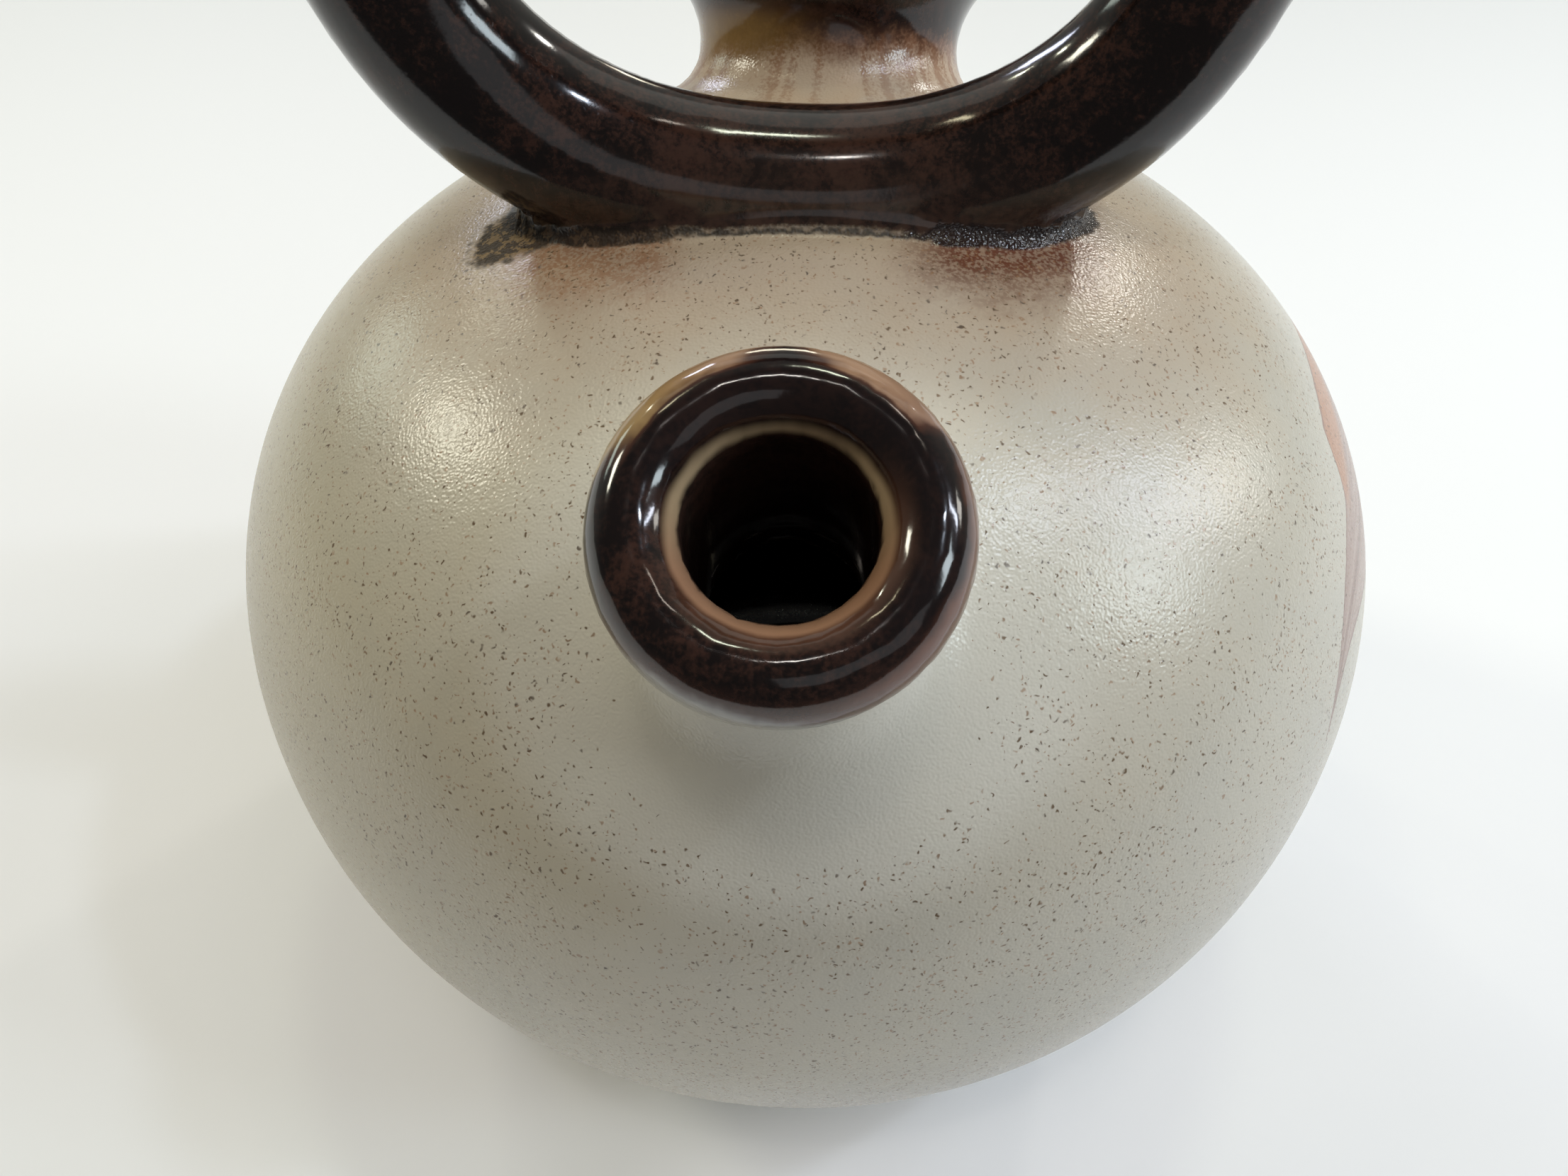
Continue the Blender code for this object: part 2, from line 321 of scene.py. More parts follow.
def body_outline(radius, rise, drop, floor_drop, edge_round, rows):
    """(r, z) from the crown down to the middle of the underside, z from the widest level."""
    points = []
    for row in range(rows):
        turn = pi / 2 * (1.0 - row / rows)
        r = 0.0 if row == 0 else radius * cos(turn) ** (2.0 / CROWN_POWER)
        points.append((r, rise * sin(turn) ** (2.0 / CROWN_POWER)))
    last = asin((floor_drop - edge_round) / drop)
    for row in range(rows):
        turn = last * row / (rows - 1)
        points.append((radius * cos(turn), -drop * sin(turn)))
    start = Vector(points[-1])
    corner = Vector((radius * sqrt(1.0 - (floor_drop / drop) ** 2), -floor_drop))
    end = Vector((corner.x - edge_round, -floor_drop))
    for step in range(1, CORNER_STEPS + 1):
        share = step / CORNER_STEPS
        point = (1 - share) ** 2 * start + 2 * share * (1 - share) * corner + share ** 2 * end
        points.append((point.x, point.y))
    points.append((0.0, -floor_drop))
    return points


def neck_outline(neck):
    """(r, s) of a neck without its bore: s runs along its axis from the body's surface."""
    lip_centre = 0.5 * (neck.lip_radius + neck.bore)
    lip_half_width = 0.5 * (neck.lip_radius - neck.bore)
    lip_half_depth = 0.5 * neck.lip_depth
    lip_level = neck.length - lip_half_depth
    low, high = 0.0, STEEPEST_COVE
    for _ in range(HALVINGS):
        cove_end = 0.5 * (low + high)
        lip_end = np.arctan(tan(cove_end) * lip_half_depth / lip_half_width)
        reach = neck.waist + neck.cove * (1 - cos(cove_end))
        if reach < lip_centre + lip_half_width * cos(lip_end):
            low = cove_end
        else:
            high = cove_end
    points = [(0.0, lip_level), (CAPPED_SHARE * neck.bore, lip_level)]
    for step in range(LIP_STEPS + 1):
        turn = LIP_START - (LIP_START + lip_end) * step / LIP_STEPS
        points.append((lip_centre + lip_half_width * cos(turn), lip_level + lip_half_depth * sin(turn)))
    waist_level = lip_level - lip_half_depth * sin(lip_end) - neck.cove * sin(cove_end)
    for step in range(1, COVE_STEPS + 1):
        turn = cove_end * (1 - step / COVE_STEPS)
        points.append((neck.waist + neck.cove * (1 - cos(turn)), waist_level + neck.cove * sin(turn)))
    root_height = waist_level + ROOT_DIP
    for step in range(1, ROOT_STEPS + 1):
        turn = ROOT_TURN * step / ROOT_STEPS
        points.append((neck.waist + neck.root_flare * (1 - cos(turn)), waist_level - root_height * sin(turn)))
    end_r, end_s = points[-1]
    slope = neck.root_flare * sin(turn) / (root_height * cos(turn))
    points.append((end_r + slope * ROOT_DIP, end_s - ROOT_DIP))
    points.append((0.0, end_s - ROOT_DIP))
    return points


def bore_outline(neck):
    top = neck.length + BORE_OVERRUN
    bottom = -WALL - BORE_OVERRUN
    return [(0.0, top), (neck.bore, top), (neck.bore, bottom), (0.0, bottom)]


def new_object(name, data):
    obj = bpy.data.objects.new(name, data)
    bpy.context.scene.collection.objects.link(obj)
    return obj


def evaluated_mesh(obj):
    bpy.context.view_layer.update()
    ready = obj.evaluated_get(bpy.context.evaluated_depsgraph_get())
    return bpy.data.meshes.new_from_object(ready)


def from_bmesh(name, bm):
    bmesh.ops.recalc_face_normals(bm, faces=bm.faces[:])
    mesh = bpy.data.meshes.new(name)
    bm.to_mesh(mesh)
    bm.free()
    return new_object(name, mesh)


def turned(name, outline, steps, place):
    """An (r, z) outline spun about Z, then put in its place."""
    bm = bmesh.new()
    verts = [bm.verts.new((r, 0.0, z)) for r, z in outline]
    edges = [bm.edges.new(pair) for pair in zip(verts, verts[1:])]
    bmesh.ops.spin(bm, geom=verts + edges, cent=(0, 0, 0), axis=(0, 0, 1), angle=2 * pi, steps=steps,
                   use_merge=True)
    bmesh.ops.remove_doubles(bm, verts=bm.verts[:], dist=SAME_POINT)
    bmesh.ops.transform(bm, matrix=place, verts=bm.verts[:])
    return from_bmesh(name, bm)


def oval_part(part):
    """A sine or cosine, bent so that the circle it draws becomes the ring's rounded oval."""
    return copysign(abs(part) ** (2.0 / RING_POWER), part)


def ring_shape():
    """The coil, bent to its rounded oval, as a bevelled closed curve made into a mesh."""
    curve = bpy.data.curves.new("ring_coil", "CURVE")
    curve.dimensions = "3D"
    curve.bevel_depth = COIL_RADIUS
    curve.bevel_resolution = COIL_BEVEL
    spline = curve.splines.new("POLY")
    spline.points.add(RING_POINTS - 1)
    spline.use_cyclic_u = True
    for i, point in enumerate(spline.points):
        turn = 2 * pi * (i + 0.5) / RING_POINTS
        c, s = cos(turn), sin(turn)
        coil = COIL_RADIUS - COIL_UNEVEN * c + COIL_SWELL * max(0.0, -s) ** 2
        point.co = (RING_HALF_WIDTH * oval_part(c), 0.0, RING_HALF_HEIGHT * oval_part(s), 1.0)
        point.radius = coil / COIL_RADIUS
    line = new_object("ring_line", curve)
    mesh = evaluated_mesh(line)
    mesh.transform(Matrix.Translation(RING_CENTRE) @ Matrix.Rotation(RING_ROLL, 4, "Y"))
    bpy.data.objects.remove(line, do_unlink=True)
    return new_object("ring", mesh)


def luting_shape():
    bm = bmesh.new()
    bmesh.ops.create_uvsphere(bm, u_segments=LUTING_STEPS, v_segments=LUTING_ROWS, radius=1.0)
    centre = BODY_CENTRE + RING_SHIFT + Vector((0.0, 0.0, BODY_RISE - LUTING_DROP))
    place = Matrix.Translation(centre) @ Matrix.Diagonal(LUTING_HALF.to_4d())
    bmesh.ops.transform(bm, matrix=place, verts=bm.verts[:])
    return from_bmesh("luting", bm)


def distances(points, obj):
    """Each point's distance to an object's surface, in metres."""
    tree = BVHTree.FromPolygons([v.co for v in obj.data.vertices], [p.vertices for p in obj.data.polygons])
    return np.array([tree.find_nearest(point)[3] for point in points])


def tell_points(skin, name, lengths, limit):
    """Stores a length for each of the skin's points, in millimetres."""
    layer = skin.data.attributes.new(name, "FLOAT", "POINT")
    layer.data.foreach_set("value", np.clip(lengths / MM, -limit, limit).astype(np.float32))


def mark_joins(skin, outer, inner):
    """Marks the points that real clay rounds off, and tells each point's side of every join."""
    points = [v.co for v in skin.data.vertices]
    near = np.array([distances(points, obj) for obj in outer])
    to_inner = np.min([distances(points, obj) for obj in inner], axis=0)
    to_body, to_ring, to_luting, to_spout, to_filler = near
    to_handle = np.minimum(to_ring, to_luting)

    # a point near two of these surfaces at once lies on a join
    nearest, second = np.sort(near, axis=0)[:2]
    at_neck = np.minimum(to_spout, to_filler) < to_handle
    everywhere = np.full(len(points), True)
    joins = (("ring_join", ~at_neck, second, RING_JOIN_REACH),
             ("neck_join", at_neck, second, NECK_JOIN_REACH),
             ("edge", everywhere, np.maximum(nearest, to_inner), EDGE_REACH))
    for name, there, crease, reach in joins:
        weight = np.where(there, np.clip(1.0 - crease / reach, 0.0, 1.0), 0.0)
        group = skin.vertex_groups.new(name=name)
        for index in np.flatnonzero(weight > 0.0):
            group.add([int(index)], float(weight[index]), "REPLACE")

    # how far each point is on the ring's, the spout's or the filler's side of its join with the body
    tell_points(skin, "ring_side", to_body - to_handle, SIDE_LIMIT)
    tell_points(skin, "spout_side", to_body - to_spout, SIDE_LIMIT)
    tell_points(skin, "filler_side", to_body - to_filler, SIDE_LIMIT)
    tell_points(skin, "inside", nearest - to_inner, INSIDE_LIMIT)


def jug_skin():
    """The whole jug: its shapes joined and bored out, drawn again in even quads, its joins rounded off."""
    home = Matrix.Translation(BODY_CENTRE)
    body_line = body_outline(BODY_RADIUS, BODY_RISE, BODY_DROP, FOOT_DROP, FOOT_ROUND, BODY_ROWS)
    cavity_line = body_outline(BODY_RADIUS - WALL, BODY_RISE - WALL, BODY_DROP - WALL, FOOT_DROP - FLOOR,
                               FLOOR_ROUND, CAVITY_ROWS)
    body = turned("body", body_line, BODY_STEPS, home)
    cavity = turned("cavity", cavity_line, CAVITY_STEPS, home)
    ring = ring_shape()
    luting = luting_shape()
    spout = turned("spout", neck_outline(SPOUT), SPOUT_STEPS, SPOUT.place())
    filler = turned("filler", neck_outline(FILLER), FILLER_STEPS, FILLER.place())
    spout_bore = turned("spout_bore", bore_outline(SPOUT), SPOUT_BORE_STEPS, SPOUT.place())
    filler_bore = turned("filler_bore", bore_outline(FILLER), FILLER_BORE_STEPS, FILLER.place())
    outer = (body, ring, luting, spout, filler)
    inner = (cavity, spout_bore, filler_bore)

    skin = new_object("water_jug", body.data.copy())
    steps = [(obj, "UNION") for obj in outer if obj is not body]
    steps += [(obj, "DIFFERENCE") for obj in inner]
    for obj, operation in steps:
        step = skin.modifiers.new(obj.name, "BOOLEAN")
        step.object = obj
        step.operation = operation
        step.solver = "MANIFOLD"
    sharp = new_object("sharp_jug", evaluated_mesh(skin))
    skin.modifiers.clear()
    skin.data = sharp.data.copy()
    remesh = skin.modifiers.new("even_quads", "REMESH")
    remesh.mode = "VOXEL"
    remesh.voxel_size = VOXEL
    skin.data = evaluated_mesh(skin)
    skin.modifiers.clear()

    mark_joins(skin, outer, inner)
    onto = skin.modifiers.new("onto_true_shape", "SHRINKWRAP")
    onto.target = sharp
    onto.wrap_method = "NEAREST_SURFACEPOINT"
    for name, rounds in (("ring_join", RING_JOIN_ROUNDS), ("neck_join", NECK_JOIN_ROUNDS),
                         ("edge", EDGE_ROUNDS)):
        smooth = skin.modifiers.new(name, "SMOOTH")
        smooth.vertex_group = name
        smooth.factor = SMOOTHING
        smooth.iterations = rounds
    skin.data = evaluated_mesh(skin)
    skin.modifiers.clear()
    skin.vertex_groups.clear()
    for obj in (*outer, *inner, sharp):
        bpy.data.objects.remove(obj, do_unlink=True)
    skin.data.shade_smooth()
    skin.data.name = "water_jug"
    return skin


class Wiring:
    """Puts nodes into one tree and joins them up."""

    def __init__(self, tree):
        self.tree = tree

    def node(self, kind, **settings):
        node = self.tree.nodes.new(kind)
        for key, value in settings.items():
            setattr(node, key, value)
        return node

    def feed(self, socket, value):
        if isinstance(value, bpy.types.NodeSocket):
            self.tree.links.new(value, socket)
        else:
            socket.default_value = value

    def math(self, operation, *values):
        node = self.node("ShaderNodeMath", operation=operation)
        for socket, value in zip(node.inputs, values):
            self.feed(socket, value)
        return node.outputs[0]

    def chain(self, operation, values):
        total = values[0]
        for value in values[1:]:
            total = self.math(operation, total, value)
        return total

    def plus(self, *values):
        return self.chain("ADD", values)

    def times(self, *values):
        return self.chain("MULTIPLY", values)

    def most(self, *values):
        return self.chain("MAXIMUM", values)

    def least(self, *values):
        return self.chain("MINIMUM", values)

    def less(self, first, second):
        return self.math("SUBTRACT", first, second)

    def flip(self, value):
        return self.less(1.0, value)

    def vector(self, operation, first, second=None, into=1, out="Vector"):
        node = self.node("ShaderNodeVectorMath", operation=operation)
        self.feed(node.inputs[0], first)
        if second is not None:
            self.feed(node.inputs[into], second)
        return node.outputs[out]

    def scaled(self, vector, factor):
        return self.vector("SCALE", vector, factor, into="Scale")

    def moved(self, vector, offset):
        return self.vector("ADD", vector, offset)

    def stretched(self, vector, factors):
        return self.vector("MULTIPLY", vector, factors)

    def unit(self, vector):
        return self.vector("NORMALIZE", vector)

    def along(self, vector, direction):
        return self.vector("DOT_PRODUCT", vector, direction, out="Value")

    def length(self, vector):
        return self.vector("LENGTH", vector, out="Value")

    def parts(self, vector):
        node = self.node("ShaderNodeSeparateXYZ")
        self.feed(node.inputs[0], vector)
        return node.outputs

    def fade(self, value, start, end, low=0.0, high=1.0):
        """Goes smoothly from low to high while the value goes from start to end."""
        node = self.node("ShaderNodeMapRange", interpolation_type="SMOOTHSTEP")
        for name, given in (("Value", value), ("From Min", start), ("From Max", end), ("To Min", low),
                            ("To Max", high)):
            self.feed(node.inputs[name], given)
        return node.outputs["Result"]

    def between(self, value, span):
        """Fades in over the span's first two numbers, and out again over its last two."""
        first, full, last, gone = span
        return self.times(self.fade(value, first, full), self.fade(value, gone, last))

    def facing(self, outwards, direction, start, end):
        """Fades in where an outward direction turns to a given one."""
        return self.fade(self.along(outwards, direction), start, end)

    def mix(self, share, without, with_it):
        node = self.node("ShaderNodeMix", data_type="RGBA")
        self.feed(node.inputs["Factor"], share)
        for socket, colour in ((node.inputs[MIX_WITHOUT], without), (node.inputs[MIX_WITH], with_it)):
            self.feed(socket, (*colour, 1.0) if isinstance(colour, tuple) else colour)
        return node.outputs[MIX_RESULT]

    def noise_node(self, place, size, detail, roughness):
        node = self.node("ShaderNodeTexNoise")
        self.feed(node.inputs["Vector"], place)
        self.feed(node.inputs["Scale"], 1.0 / size)
        self.feed(node.inputs["Detail"], detail)
        self.feed(node.inputs["Roughness"], roughness)
        return node

    def noise(self, place, size, detail, roughness=0.5):
        """Cloudy noise about 0.5, with features of one size in millimetres."""
        return self.noise_node(place, size, detail, roughness).outputs["Fac"]

    def noise_vector(self, place, size):
        """Cloudy noise about 0.5 along each of the three axes."""
        return self.noise_node(place, size, 0.0, 0.5).outputs["Color"]

    def cells(self, place, size):
        """Distance to the nearest scattered point, in millimetres, and that point's three random numbers."""
        node = self.node("ShaderNodeTexVoronoi")
        self.feed(node.inputs["Vector"], place)
        self.feed(node.inputs["Scale"], 1.0 / size)
        return self.times(node.outputs["Distance"], size), self.parts(node.outputs["Color"])

    def bump(self, height, strength):
        """The normal over a height in millimetres."""
        node = self.node("ShaderNodeBump")
        self.feed(node.inputs["Height"], height)
        self.feed(node.inputs["Strength"], strength)
        self.feed(node.inputs["Distance"], MM)
        return node.outputs["Normal"]

    def attribute(self, name):
        return self.node("ShaderNodeAttribute", attribute_name=name).outputs["Fac"]


def millimetres(w):
    return w.scaled(w.node("ShaderNodeTexCoord").outputs["Object"], 1.0 / MM)


def up_the_neck(w, place, neck):
    """Height along a neck's axis and radius about it, in millimetres, and the unit vector outwards."""
    from_root = w.moved(place, tuple(-neck.root / MM))
    height = w.along(from_root, tuple(neck.axis))
    back_down = w.scaled(tuple(-neck.axis), height)
    outwards = w.moved(from_root, back_down)
    return height, w.length(outwards), w.unit(outwards)


class Places:
    """What the glaze's layers go by: where a point lies, and four sizes of cloudy noise.

    x runs to the right, y to the back and z up. A side is positive on the ring, the spout or the filler and
    negative on the body, and inside is positive in the bores and the hollow. All are in millimetres, as are
    the heights and radii, so a layer's fades say over which millimetres it comes or goes.
    """

    def __init__(self, w):
        self.place = millimetres(w)
        self.x, self.y, self.z = w.parts(self.place)
        self.ring_side = w.attribute("ring_side")
        self.spout_side = w.attribute("spout_side")
        self.filler_side = w.attribute("filler_side")
        self.inside = w.attribute("inside")
        self.fine = w.noise(self.place, 0.5, 1.0, 0.6)
        self.grain = w.noise(self.place, 1.6, 1.0, 0.6)
        self.cloud = w.noise(self.place, 9.0, 2.0, 0.55)
        self.broad = w.noise(self.place, 34.0, 1.0)
        self.spout_height, self.spout_radius, self.spout_outwards = up_the_neck(w, self.place, SPOUT)
        self.filler_height, self.filler_radius, self.filler_outwards = up_the_neck(w, self.place, FILLER)


def waver(w, noise, reach):
    """A noise about 0.5 turned into a sway of up to half the reach, in millimetres, either way."""
    return w.times(w.less(noise, NOISE_MIDDLE), reach)


def scattered_specks(w, place, spread, crowding):
    """Round spots on some of the scattered points, more of them where crowding is high, and their tints."""
    spacing, radius, presence = spread
    distance, (pick, girth, tint) = w.cells(place, spacing)
    reach = w.times(radius, w.fade(girth, 0.0, 1.0, 0.5, 1.2))
    shown = w.math("LESS_THAN", pick, w.times(presence, crowding))
    spot = w.fade(w.math("DIVIDE", distance, reach), SPECK_EDGE, 1.0, 1.0, 0.0)
    return w.times(spot, shown), tint


def body_ground(w, at):
    """The light ground: grey-cream and toasted near the ring; yellower to the left, partly its own tone and
    partly painted warm light, and paler round the spout's foot, partly thicker glaze and partly painted
    light.
    """
    colour = w.mix(w.fade(at.broad, 0.35, 0.65), CREAM, GREY_CREAM)
    colour = w.mix(w.fade(at.cloud, 0.3, 0.7, 0.0, 0.5), colour, WARM_CREAM)
    # Yellower to the left: partly the glaze's own tone, partly painted warm light falling from that side
    left_tone_and_warm_light = w.fade(w.plus(at.x, waver(w, at.broad, 40.0)), 10.0, -75.0, 0.0, 0.55)
    colour = w.mix(left_tone_and_warm_light, colour, YELLOW_TONE_AND_WARM_LIGHT)
    toasted = w.times(w.fade(w.plus(at.ring_side, waver(w, at.cloud, 14.0)), -42.0, -4.0, 0.0, 0.85),
                      w.fade(at.z, 95.0, 130.0))
    colour = w.mix(toasted, colour, TOASTED)
    # Paler round the spout's foot: partly a thicker glaze, partly painted light that lifts the lip's shadow
    # there
    thick_glaze_and_light_at_spout = w.fade(w.plus(at.spout_side, waver(w, at.cloud, 3.0)), -13.0, -3.0, 0.0, 0.6)
    return w.mix(thick_glaze_and_light_at_spout, colour, THICK_GLAZE_AND_LIGHT_CREAM)


def painted_leaf(w, at, colour):
    """A plain leaf-shaped panel in pink-mauve on the right side, its upper edge orange-brown."""
    turn = w.times(w.math("ARCTAN2", at.y, at.x), DEGREES)
    across = w.math("SQRT", w.plus(w.times(at.x, at.x), w.times(at.y, at.y)))
    rise = w.times(w.math("ARCTAN2", w.less(at.z, BODY_CENTRE.z / MM), across), DEGREES)
    share = w.times(w.less(turn, LEAF_MIDDLE), 1.0 / LEAF_HALF_LENGTH)
    taper = w.math("POWER", w.math("ABSOLUTE", share), LEAF_TAPER)
    half_width = w.times(w.flip(taper), LEAF_HALF_WIDTH)
    rear = w.most(share, 0.0)
    front = w.most(w.times(share, -1.0), 0.0)
    droop = w.times(w.math("POWER", front, TIP_DROOP_POWER), TIP_DROOP)
    bend = w.less(w.times(rear, rear, w.flip(rear), LEAF_ARCH), droop)
    upward = w.less(rise, w.plus(bend, LEAF_RISE))
    lobe = w.times(w.between(turn, LOBE_SPAN), LEAF_LOBE)
    to_edge = w.less(w.plus(half_width, lobe), w.math("ABSOLUTE", w.less(upward, lobe)))
    to_edge = w.times(to_edge, MM_TO_A_DEGREE)
    leaf = w.fade(w.plus(to_edge, waver(w, at.grain, 0.5)), -0.15, 0.2)
    strokes = w.node("ShaderNodeCombineXYZ")
    w.feed(strokes.inputs["X"], w.times(turn, STROKES_ALONG))
    w.feed(strokes.inputs["Y"], w.times(upward, STROKES_ACROSS))
    streak = w.fade(w.noise(strokes.outputs[0], 1.0, 1.0, 0.6), 0.35, 0.65)
    paint = w.mix(streak, MAUVE_PAINT, PINK_PAINT)
    warm = w.times(w.fade(w.less(upward, half_width), -2.5, 0.0), w.between(turn, ORANGE_SPAN))
    paint = w.mix(w.times(warm, PAINT_COVER), paint, ORANGE_PAINT)
    line = w.least(to_edge, w.plus(w.math("ABSOLUTE", upward), 0.2))
    paint = w.mix(w.fade(line, 0.9, 0.35, 0.0, 0.75), paint, PAINTED_LINE)
    return w.mix(w.times(leaf, PAINT_COVER), colour, paint)


def rust_at_the_ring(w, at, colour):
    """Iron burnt into the ground along the ring's foot: deep on the right, lighter on the left."""
    near_ring = w.fade(w.plus(at.ring_side, waver(w, at.cloud, 5.0), waver(w, at.grain, 3.0)), -16.5, -4.5)
    speckle = w.fade(w.plus(at.fine, waver(w, at.grain, 0.5)), 0.28, 0.68)
    left = w.times(near_ring, w.between(at.x, LEFT_RUST_SPAN))
    colour = w.mix(w.times(left, w.fade(speckle, 0.0, 1.0, 0.3, 0.75)), colour, LEFT_RUST)
    right = w.times(near_ring, w.between(at.x, RIGHT_RUST_SPAN))
    return w.mix(w.times(right, w.fade(speckle, 0.0, 1.0, 0.55, 0.97)), colour, RIGHT_RUST)


def speckled(w, at, colour):
    """Small rust-brown specks and darker pinholes, none of them close to the necks."""
    away = w.times(w.fade(at.spout_side, -0.5, -4.5), w.fade(at.filler_side, -0.5, -5.0))
    crowding = w.plus(w.fade(at.cloud, 0.3, 0.72, 0.4, 1.3), w.fade(at.ring_side, -30.0, -10.0, 0.0, 0.3))
    crowding = w.times(w.plus(crowding, w.fade(at.z, 100.0, 70.0, 0.0, 0.3)), away)
    either_way = w.moved(w.noise_vector(at.place, SHAKE_SIZE), (-NOISE_MIDDLE,) * 3)
    ragged = w.moved(at.place, w.scaled(either_way, SHAKE_REACH))
    speck, tint = scattered_specks(w, ragged, SPECK_SPREAD, crowding)
    iron = w.mix(w.fade(tint, 0.2, 0.8), PALE_SPECK, DARK_SPECK)
    colour = w.mix(w.times(speck, w.fade(tint, 0.0, 1.0, 0.6, 1.0)), colour, iron)
    pinhole, tint = scattered_specks(w, ragged, PINHOLE_SPREAD, crowding)
    colour = w.mix(w.times(pinhole, w.fade(tint, 0.0, 1.0, 0.65, 0.95)), colour, PINHOLE_BROWN)
    return colour, pinhole


def iron_glaze(w, at):
    """The near-black glaze, with rust-brown mottling."""
    middle = w.fade(w.math("ABSOLUTE", at.x), 48.0, 12.0, 0.0, 0.16)
    mottle = w.fade(w.plus(at.cloud, middle, waver(w, at.grain, 0.7), waver(w, at.fine, 0.8)), 0.4, 0.95)
    return w.mix(mottle, NEAR_BLACK, MOTTLED_BROWN)


def ring_cover(w, at, colour, dark):
    """The dark glaze of the ring, browner along its foot."""
    on_ring = w.fade(w.plus(at.ring_side, waver(w, at.fine, 0.7)), -0.5, 0.5)
    low = w.times(w.fade(at.ring_side, 13.0, 1.0), w.fade(at.grain, 0.3, 0.7, 0.25, 0.75))
    return w.mix(on_ring, colour, w.mix(low, dark, LOW_ON_RING)), on_ring


def spout_cover(w, at, colour, dark):
    """The dark lip of the spout: tan where its glaze runs thin, and bare around the mouth."""
    out = at.spout_outwards
    inwards = w.times(w.most(w.less(LIP_TOP_RADIUS, at.spout_radius), 0.0), MOUTH_PULL)
    height = w.plus(at.spout_height, inwards, waver(w, at.cloud, 3.0), waver(w, at.grain, 0.8))
    back_left = w.facing(out, BACK_LEFT, 0.55, 1.0)
    back_right = w.facing(out, BACK_RIGHT, 0.72, 1.0)
    front_left = w.facing(out, FRONT_LEFT, 0.45, 0.95)
    front_right = w.facing(out, FRONT_RIGHT, 0.35, 0.85)
    edge = w.plus(SPOUT_GLAZE_LEVEL, w.times(w.most(back_left, back_right), HIGHER_BEHIND),
                  w.times(front_left, HIGHER_FRONT_LEFT), w.times(front_right, HIGHER_FRONT_RIGHT))
    above = w.less(height, edge)
    on_neck = w.fade(at.spout_side, 2.0, 6.0)
    cover = w.times(w.fade(above, -0.7, 0.9), on_neck)
    behind = w.times(w.facing(out, BACK, 0.2, 0.7), THIN_BEHIND)
    thin = w.times(w.fade(w.plus(above, behind), -4.5, 1.5), w.fade(above, -12.0, -2.0), on_neck)

    right = w.facing(out, RIGHT, 0.1, 0.95)
    left = w.facing(out, LEFT, 0.3, 0.9)
    thinned = w.mix(left, SPOUT_TAN, SPOUT_OLIVE)
    thinned = w.mix(right, thinned, SPOUT_RED_BROWN)
    thinned = w.mix(front_left, thinned, SPOUT_SLATE)
    colour = w.mix(w.times(thin, 0.9), colour, thinned)

    plain = w.fade(w.along(out, MOTTLED_SIDE), 0.0, 0.9, 0.75, 0.1)
    lip = w.mix(plain, dark, LIP_BLACK)
    lip = w.mix(w.fade(above, 2.4, 0.0, 0.0, 0.85), lip, LIP_LOWER_RIM)
    red_edge = w.times(right, w.fade(height, 28.4, 26.6))
    lip = w.mix(w.times(red_edge, 0.8), lip, LIP_RED_EDGE)

    shift = w.times(w.along(out, WIDEST_BARE_SIDE), BARE_MOUTH_SHIFT)
    mouth = w.plus(BARE_MOUTH_RADIUS, shift, waver(w, at.cloud, 1.0))
    past_mouth = w.less(at.spout_radius, mouth)
    at_mouth = w.fade(at.spout_height, 24.2, 25.2)
    brown = w.times(w.fade(past_mouth, 2.6, 0.3), at_mouth, w.facing(out, BROWNEST_MOUTH_SIDE, -0.3, 0.7))
    lip = w.mix(w.times(brown, 0.6), lip, MOUTH_BROWN)
    bare = w.times(w.fade(past_mouth, 0.5, -0.3), at_mouth)
    clay = w.mix(w.facing(out, FRONT, -0.4, 0.6), MOUTH_CLAY, FRONT_MOUTH_CLAY)
    lip = w.mix(w.times(bare, 0.85), lip, clay)
    return w.mix(cover, colour, lip), w.most(cover, thin)


def filler_cover(w, at, colour, dark):
    """The dark filler neck: its glaze breaks to rust and ochre as it thins towards the body."""
    ragged = w.plus(at.filler_height, waver(w, at.cloud, 6.0), waver(w, at.fine, 3.0))
    near = w.fade(at.filler_radius, 34.0, 30.0)
    on_neck = w.times(w.fade(at.filler_side, 0.5, 3.5), near)
    toast = w.times(w.fade(w.plus(at.filler_height, waver(w, at.cloud, 8.0)), -9.0, 1.0),
                    w.fade(at.z, 130.0, 134.0), w.fade(at.filler_side, -6.0, 0.0), near)
    runs = w.plus(w.noise(at.filler_outwards, 0.1, 1.0), waver(w, at.fine, 0.5))
    streaks = w.mix(w.fade(runs, 0.42, 0.66), PALE_RUN, BROWN_RUN)
    colour = w.mix(w.times(toast, 0.85), colour, streaks)
    rust = w.times(w.fade(ragged, 0.0, 5.0), on_neck)
    colour = w.mix(w.times(rust, 0.92), colour, FILLER_RUST)
    ochre = w.times(rust, w.facing(at.filler_outwards, OCHRE_SIDE, 0.2, 0.8),
                    w.fade(at.filler_height, 11.0, 7.0))
    colour = w.mix(w.times(ochre, 0.8), colour, FILLER_OCHRE)
    top = w.times(w.fade(w.plus(ragged, waver(w, at.grain, 4.0)), 3.0, 7.5), on_neck)
    top = w.times(top, w.flip(w.times(ochre, 0.75)))
    return w.mix(top, colour, dark), w.most(w.times(rust, 0.8), top)


